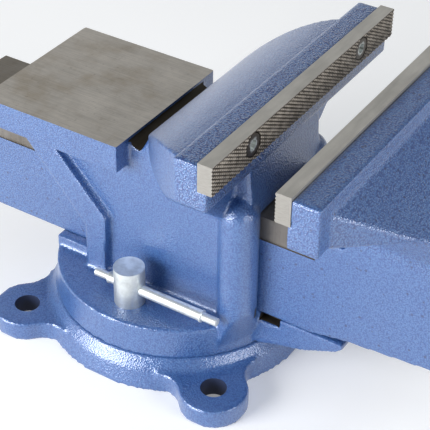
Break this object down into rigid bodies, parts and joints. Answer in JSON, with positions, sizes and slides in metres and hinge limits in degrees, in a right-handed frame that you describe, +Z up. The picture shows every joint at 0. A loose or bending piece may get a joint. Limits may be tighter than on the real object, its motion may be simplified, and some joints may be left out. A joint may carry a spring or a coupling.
{
  "type": "bench vise",
  "caption": "Cast-iron bench vise with swivel base, flat anvil, wide steel jaw plates, a sliding front jaw on a box slide, screw spindle and sliding handle bar.",
  "frame": {"origin": "swivel axis at the bench surface, at the centre of the four bench bolt holes", "axes": "+X along the slide towards the moving jaw, +Z up from the bench, +Y across the jaws"},
  "size_m": [0.441, 0.2998, 0.193],
  "materials": {
    "hammered_paint": "hammered blue enamel over cast iron, with machined faces left bare",
    "bare_casting": "unpainted oily grey iron casting",
    "zinc": "bright zinc plating with fine turning lines",
    "ground_steel": "hardened steel, ground edges and a serrated clamping face",
    "turned_steel": "turned and oiled steel",
    "spring_steel": "dark spring wire"
  },
  "bodies": {
    "base": {"swivel_base": "hammered_paint"},
    "body": {"fixed_body": "hammered_paint", "clamp_plate": "bare_casting", "fixed_jaw_plate": "ground_steel", "fixed_jaw_screws": "zinc", "spindle_nut": "bare_casting", "nut_bolt": "zinc"},
    "lock_near": {"lock_screw_near": "zinc"},
    "lock_bar_near": {"lock_bar_near": "zinc"},
    "lock_far": {"lock_screw_far": "zinc"},
    "lock_bar_far": {"lock_bar_far": "zinc"},
    "jaw": {"moving_jaw": "hammered_paint", "moving_jaw_plate": "ground_steel", "moving_jaw_screws": "zinc"},
    "spindle": {"spindle": "turned_steel", "thrust_washer": "turned_steel", "spindle_spring": "spring_steel", "spindle_collar": "turned_steel", "cotter_pin": "zinc"},
    "handle": {"handle_bar": "zinc", "handle_knob_near": "zinc", "handle_knob_far": "zinc"}
  },
  "joints": [
    {"name": "swivel", "type": "hinge", "parent": "base", "child": "body", "pos_m": [0, 0, 0], "axis": [0, 0, 1], "continuous": true},
    {"name": "jaw_slide", "type": "slide", "parent": "body", "child": "jaw", "axis": [1, 0, 0], "range_m": [-0.0356, 0.1643]},
    {"name": "spindle_turn", "type": "hinge", "parent": "jaw", "child": "spindle", "pos_m": [0.24, 0, 0.076], "axis": [1, 0, 0], "range_deg": [-2200, 9900]},
    {"name": "handle_slide", "type": "slide", "parent": "spindle", "child": "handle", "axis": [0, 1, 0], "range_m": [-0.104, 0.104]},
    {"name": "lock_near_turn", "type": "hinge", "parent": "body", "child": "lock_near", "pos_m": [0.0015, -0.0575, 0.0517], "axis": [0, 0, 1], "range_deg": [-26, 1.5]},
    {"name": "lock_bar_near_slide", "type": "slide", "parent": "lock_near", "child": "lock_bar_near", "axis": [-1, 0, 0], "range_m": [-0.0025, 0.041]},
    {"name": "lock_far_turn", "type": "hinge", "parent": "body", "child": "lock_far", "pos_m": [0.0015, 0.0575, 0.0517], "axis": [0, 0, -1], "range_deg": [-26, 1.5]},
    {"name": "lock_bar_far_slide", "type": "slide", "parent": "lock_far", "child": "lock_bar_far", "axis": [-1, 0, 0], "range_m": [-0.0025, 0.041]}
  ],
  "couplings": [
    {"joint": "spindle_turn", "follows": "jaw_slide", "rad_per_m": 1047.2}
  ]
}
